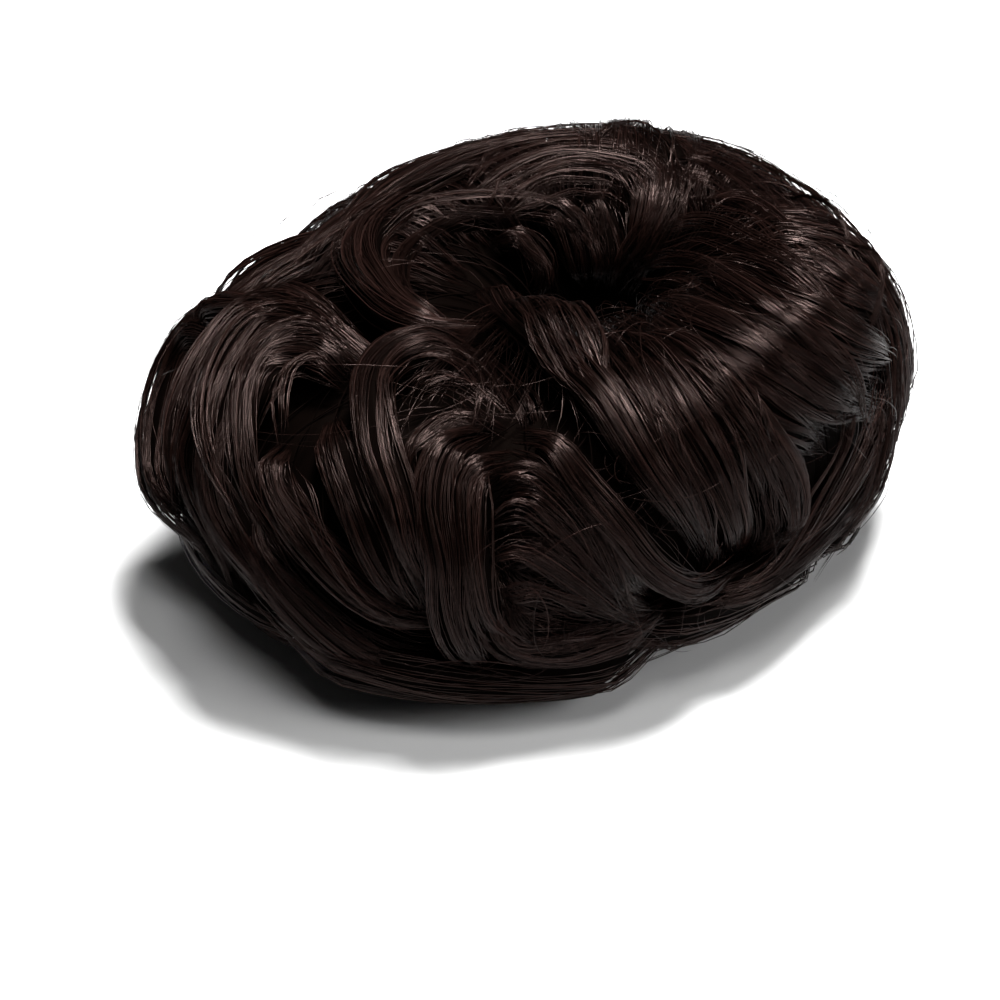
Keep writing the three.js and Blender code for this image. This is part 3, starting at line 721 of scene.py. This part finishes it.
def fuzz(mesh, rng, patch):
    count, steps = patch["hairs"], looseLook["steps"]
    along = np.linspace(0, 1, steps)[None, :]
    travel = patch["length"] * rng.uniform(0.5, 1.2, (count, 1)) / steps
    turn = rng.uniform(0, 2 * math.pi, (count, 1)) + rng.uniform(-1.9, 1.9, (count, 1)) * along
    at = rng.uniform(*patch["at"], (count, 1)) + np.cumsum(
        np.cos(turn) * travel, 1) / looseLook["perDegreeAt"]
    over = rng.uniform(*patch["over"], (count, 1)) + np.cumsum(
        np.sin(turn) * travel, 1) / looseLook["perDegreeOver"]
    bow = np.sin(math.pi * along) * rng.uniform(-0.3, 1.0, (count, 1)) * travel * steps * 0.12
    lift = rng.uniform(*patch["lift"], (count, 1)) + bow
    paths = onRoll(at, over, lift)
    addStrands(mesh, paths, onRoll(at, over, lift + 2) - paths,
               looseLook["radius"] * rng.uniform(0.7, 1.4, count),
               np.clip(rng.normal(0.34, 0.16, count), 0, 0.8))


def tuft(mesh, rng, row):
    count, steps = row["hairs"], looseLook["tuftSteps"]
    along = np.linspace(0, 1, steps)[None, :]
    start, end = rng.normal(0, 0.45, (2, count, 1))
    at = row["at"][0] + start + (row["at"][1] - row["at"][0] + end) * along
    over = row["over"][0] + start + (row["over"][1] - row["over"][0] + end * 2) * along
    lift = np.sin(math.pi * along ** 0.85) * (row["rise"] + rng.normal(0, 0.35, (count, 1))) - 0.6
    paths = onRoll(at, over, lift)
    addStrands(mesh, paths, onRoll(at, over, lift + 2) - paths,
               looseLook["radius"] * rng.uniform(0.9, 1.6, count), 0.2 + 0 * start[:, 0])


def collar(mesh, rng, row):
    count, steps = row["hairs"], looseLook["collarSteps"]
    along = np.linspace(0, 1, steps)[None, :]
    at = rng.uniform(*row["at"], (count, 1)) + row["swing"] * (1 - along) ** 1.6
    low, high = row["over"]
    over = low + rng.uniform(-12, 10, (count, 1)) + (high - low) * along
    over = over + rng.uniform(-14, 14, (count, 1)) * along
    rise = np.sin(math.pi * along ** 1.1) * row["rise"] * rng.uniform(0.1, 1.1, (count, 1))
    lift = rise - 1.2 - 1.8 * along + waves(rng, count, along, 0.2, 1.2)
    at = at + waves(rng, count, along, 2.2, 0.7)
    paths = onRoll(at, over, lift)
    addStrands(mesh, paths, onRoll(at, over, lift + 2) - paths,
               strandLook["radius"] * rng.uniform(0.6, 1.1, count),
               np.clip(rng.normal(0.22, 0.12, count), 0, 0.6))


# thin wisps on top of the locks, in the same terms as the locks, with their number of hairs
wisps = table(("at", "over", "wide", "lift", "tipLift", "hairs", "bulge"), [
    ([-8, -14, -28, -44, -56], [40, 22, 8, -2, -8], 0.5, 0, 0, 24),
    ([-34, -40, -50, -60, -68], [34, 16, 4, -6, -12], 0.5, 0, 0, 24),
    ([139, 124, 114, 106, 98, 90], [91, 81, 75, 80, 88, 94], 0.3, 0.2, 0.2, 24),  # top arc left
    ([97, 90, 82, 76, 68, 60], [91, 82, 75, 82, 91, 102], 0.28, 0.3, 0.25, 20),  # top arc right
    ([181, 168, 153, 136, 120], [82, 85, 86, 86, 88], 0.5, 0.15, 0.1, 26),  # top sweep
    ([68, 56, 54, 67, 88], [92, 109, 126, 142, 154], 0.5, 0.3, 0.1, 26),  # top fall
    ([156, 151, 150, 160], [118, 126, 136, 149], 0.3, 0.05, 0, 24),  # eye curl
    ([160, 177, 192, 207, 220, 228], [85, 85, 88, 91, 93, 100], 0.4, 0.2, 0.2, 30),  # swirl outer
    ([108, 123, 142, 156, 166, 178], [134, 120, 107, 96, 91, 90], 0.4, 0.12, 0.05, 26),  # swirl top
    ([63, 30, -3, -21, -27], [135, 120, 104, 85, 56], 0.6, 0, 0.3, 30),  # hub fan top
    ([68, 16, -37, -42, -38], [148, 135, 100, 78, 46], 0.6, 0, 0.3, 30),  # hub fan high
    ([-45, -60, -61, -56, -52, -42], [150, 128, 104, 84, 60, 30], 0.6, 0, 0.3, 30),  # hub fan middle
    ([277, 288, 292, 295, 298], [102, 87, 68, 44, 22], 0.6, 0, 0.2, 30),  # hub fan low
    ([44, 24, -2, -14, -10], [105, 95, 86, 62, 35], 0.6, 0, 0.25, 26),  # right fan
    ([318, 320, 323, 326], [84, 63, 39, 18], 0.5, 0.25, 0.35, 24),  # right fan tip
    ([260, 269, 274, 278, 282], [111, 90, 70, 48, 25], 0.5, 0.05, 0.12, 28),  # hub front
    ([272, 281, 286, 290, 292], [104, 86, 61, 37, 14], 0.5, 0, 0.05, 26),  # hub front low
    ([224, 228, 238, 244, 246], [86, 90, 88, 79, 66], 0.4, -0.05, -0.15, 20),  # ear curl high
    ([232, 234, 242, 250], [77, 84, 81, 72], 0.4, -0.15, -0.15, 20),  # ear curl low
    ([216, 204, 200, 204, 210, 217, 224],
     [82, 78, 67, 56, 44, 32, 20], 0.5, 0.15, 0.25, 28),  # wave outer
    ([218, 209, 208, 212, 218, 223, 229],
     [80, 76, 67, 56, 43, 30, 16], 0.5, 0.15, 0.2, 28),  # wave middle
    ([213, 200, 196, 200, 205, 209, 212],
     [80, 75, 63, 51, 38, 24, 12], 0.5, 0.1, 0.25, 26),  # wave high
    ([216, 214, 218, 222], [76, 68, 58, 47], 0.3, 0.1, -0.1, 20),  # wave inner
    ([226, 230, 234, 238, 242], [40, 32, 20, 8, 0], 0.25, 0, 0.1, 12),  # pit tail
    ([250, 251, 252, 254, 260], [49, 33, 16, 1, -12], 0.3, 0.1, 0.1, 24),  # fall edge
    ([252, 257, 264, 269, 272], [50, 48, 32, 10, -4], 0.3, 0, 0.05, 20),  # feather high
    ([252, 256, 262, 268, 272], [32, 36, 24, 6, -5], 0.3, -0.1, 0.05, 20),  # feather middle
    ([252, 256, 262, 268, 272], [18, 21, 12, 0, -8], 0.3, -0.15, 0, 20),  # feather low
    ([254, 258, 264, 272], [6, 8, 2, -10], 0.35, -0.15, 0, 20),  # feather base
    ([254, 260, 266, 272], [-8, -8, -8, -8], 0.35, -0.05, 0, 20),  # feather rim
    ([276, 280, 284, 286], [66, 45, 25, 5], 0.3, 0.15, 0.05, 22),  # drop edge
    ([297, 298, 302, 304], [60, 40, 18, 0], 0.4, 0.1, 0.1, 24),  # drop right
    ([150, 132, 112, 94, 75, 56], [98, 94, 91, 92, 98, 112], 0.8, 0.22, 0.22, 50),  # crest high
    ([152, 130, 108, 90, 74], [110, 105, 102, 105, 118], 0.7, 0.15, 0.15, 36),  # crest low
    ([68, 53, 31, 6], [90, 90, 91, 88], 0.6, 0.1, 0.1, 26),  # crest right
    ([193, 188, 180, 168, 158], [64, 74, 81, 86, 90], 0.5, 0.1, 0.1, 24),  # sweep edge
    ([228, 240, 249, 256, 262, 267],
     [117, 110, 102, 94, 85, 74], 0.95, 0, 0.1, 76, [0, 0.45, 0.6, 0.35, 0.08, 0]),
    ([172, 150, 128, 106, 84, 62], [79, 77, 75, 75, 76, 80], 0.8, 0.16, 0.16, 52),
    ([108, 90, 70, 50, 30, 10], [84, 77, 73, 73, 74, 72], 0.8, 0.2, -0.2, 52),
    ([60, 40, 20, 0, -18], [74, 70, 64, 57, 46], 0.8, -0.1, -0.05, 44),
    ([170, 177, 182, 185, 188, 193], [86, 66, 44, 22, 2, -16], 0.95, -0.4, -0.4, 50),
    ([184, 183, 184, 188, 196], [66, 48, 30, 10, -12], 0.8, -0.35, -0.35, 40),
])
# loosely curved wisps down the back, each with its own sway
backWisps = {
    "count": 17, "from": 182, "to": -22, "sway": 11, "drift": 16, "over": [97, 74, 46, 16, -12, -32],
    "jitter": 6, "wide": 0.6, "hairs": 24,
}


def wispsDownTheBack():
    rng, rows = np.random.default_rng(seeds["backWisps"]), []
    turns = range(len(backWisps["over"]))
    for place in np.linspace(backWisps["from"], backWisps["to"], backWisps["count"]):
        phase, drift = rng.uniform(0, 2 * math.pi), rng.uniform(-1, 1) * backWisps["drift"]
        jitter = backWisps["jitter"]
        share = (backLocks["from"] - place) / (backLocks["from"] - backLocks["to"])
        rows.append({
            "at": [place + backWisps["sway"] * math.sin(0.9 * k + phase) + drift * (k / 5 - 0.5)
                   for k in turns],
            "over": [over + rng.uniform(-jitter, jitter) for over in backWisps["over"]],
            "wide": backWisps["wide"], "hairs": backWisps["hairs"],
            "lift": np.interp(share, np.linspace(0, 1, len(backLocks["lift"])), backLocks["lift"]),
        })
    return rows


wisps += wispsDownTheBack()
wispLook = {"deep": 0.25, "radius": 0.095, "tone": 0.3, "perPiece": 18}


def surfaceWisps():
    for first in range(0, len(wisps), wispLook["perPiece"]):
        mesh = Mesh()
        for index, row in enumerate(wisps[first:first + wispLook["perPiece"]]):
            row = {"name": "wisp", "deep": wispLook["deep"], "width": lockSize["wide"], **row}
            rng = np.random.default_rng(seeds["wisps"] + first + index)
            lockStrands(mesh, row, Course(row), rng, row["hairs"], wispLook["radius"], 1.0, 1.0,
                        wispLook["tone"], (0.0, 1.0))
        piece = mesh.build(f"surface_wisps_{first // wispLook['perPiece'] + 1}", hairMaterial)
        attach(piece, "root")
        print("wisps made,", sum(len(f) for f in mesh.faces), "triangles")


def looseHair():
    rng = np.random.default_rng(seeds["looseHairs"])
    mesh = Mesh()
    for row in collarRows:
        collar(mesh, rng, row)
    for patch in fuzzPatches:
        fuzz(mesh, rng, patch)
    for row in strayTufts:
        tuft(mesh, rng, row)
    piece = mesh.build("loose_hairs", hairMaterial)
    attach(piece, "root")
    print("loose hairs made,", sum(len(f) for f in mesh.faces), "triangles")


surfaceWisps()
looseHair()

# a pale floor, soft light from above and behind on the right, and the camera
stageLook = {
    "floorColour": (0.52, 0.52, 0.52), "floorSize": 6, "floorRoughness": 0.9, "floorShine": 0.1,
    "floorHeight": -0.0003, "aimHeight": 0.03,
    "skyLow": 0.2, "skyHigh": 0.02, "skyFadeFrom": 0.08, "skyFadeTo": 0.17,
}
lights = [
    {"name": "key_light", "place": (0.17, 0.13, 1.14), "size": 0.32, "power": 54},
    {"name": "front_light", "place": (0.04, -0.45, 1.0), "size": 0.3, "power": 5.5},
    {"name": "side_light", "place": (0.55, -0.3, 0.4), "size": 0.25, "power": 3},
]


def paleFloor():
    bpy.ops.mesh.primitive_plane_add(size=stageLook["floorSize"], location=(0, 0, stageLook["floorHeight"]))
    floor = bpy.context.object
    floor.name = "floor"
    material = bpy.data.materials.new("pale_floor")
    material.use_nodes = True
    surface = material.node_tree.nodes["Principled BSDF"]
    surface.inputs["Base Color"].default_value = (*stageLook["floorColour"], 1)
    surface.inputs["Roughness"].default_value = stageLook["floorRoughness"]
    surface.inputs["Specular IOR Level"].default_value = stageLook["floorShine"]
    floor.data.materials.append(material)


def softLight(look):
    data = bpy.data.lights.new(look["name"], "AREA")
    data.size = look["size"]
    data.energy = look["power"]
    light = bpy.data.objects.new(look["name"], data)
    light.location = look["place"]
    toward = np.array([0, 0, stageLook["aimHeight"]]) - np.array(look["place"])
    light.rotation_euler = Vector(toward).to_track_quat("-Z", "Y").to_euler()
    bpy.context.scene.collection.objects.link(light)


def softSky():
    # pale all round near the ground, nearly dark overhead
    world = bpy.data.worlds.new("soft_sky")
    world.use_nodes = True
    nodes, links = world.node_tree.nodes, world.node_tree.links
    place, parts = nodes.new("ShaderNodeTexCoord"), nodes.new("ShaderNodeSeparateXYZ")
    fade = nodes.new("ShaderNodeMapRange")
    fade.inputs["From Min"].default_value = stageLook["skyFadeFrom"]
    fade.inputs["From Max"].default_value = stageLook["skyFadeTo"]
    fade.inputs["To Min"].default_value = stageLook["skyLow"]
    fade.inputs["To Max"].default_value = stageLook["skyHigh"]
    links.new(place.outputs["Generated"], parts.inputs["Vector"])
    links.new(parts.outputs["Z"], fade.inputs["Value"])
    links.new(fade.outputs["Result"], nodes["Background"].inputs["Strength"])
    nodes["Background"].inputs["Color"].default_value = (1, 1, 1, 1)
    bpy.context.scene.world = world


paleFloor()
for look in lights:
    softLight(look)
softSky()
bpy.context.scene.view_settings.view_transform = "Standard"

# seen from 35 degrees above the front, as in the photograph
cameraLook = {"lens": 120, "sensor": 36, "nearest": 0.01, "distance": 0.64, "elevation": 35,
              "aimHeight": 0.03,
              "shiftX": -0.0325, "shiftY": -0.0915}


def photoCamera():
    data = bpy.data.cameras.new("camera")
    data.lens = cameraLook["lens"]
    data.sensor_width = cameraLook["sensor"]
    data.shift_x, data.shift_y = cameraLook["shiftX"], cameraLook["shiftY"]
    data.clip_start = cameraLook["nearest"]
    turn, rise = math.radians(roll["turn"]), math.radians(cameraLook["elevation"])
    aimX = (hub[0] - roll["hubShift"] * math.cos(turn)) * mm
    aimY = (hub[1] - roll["hubShift"] * math.sin(turn)) * mm
    camera = bpy.data.objects.new("camera", data)
    camera.location = (aimX, aimY - cameraLook["distance"] * math.cos(rise),
                       cameraLook["aimHeight"] + cameraLook["distance"] * math.sin(rise))
    camera.rotation_euler = (math.pi / 2 - rise, 0, 0)
    bpy.context.scene.collection.objects.link(camera)
    bpy.context.scene.camera = camera


photoCamera()
print("stage, lights and camera set")
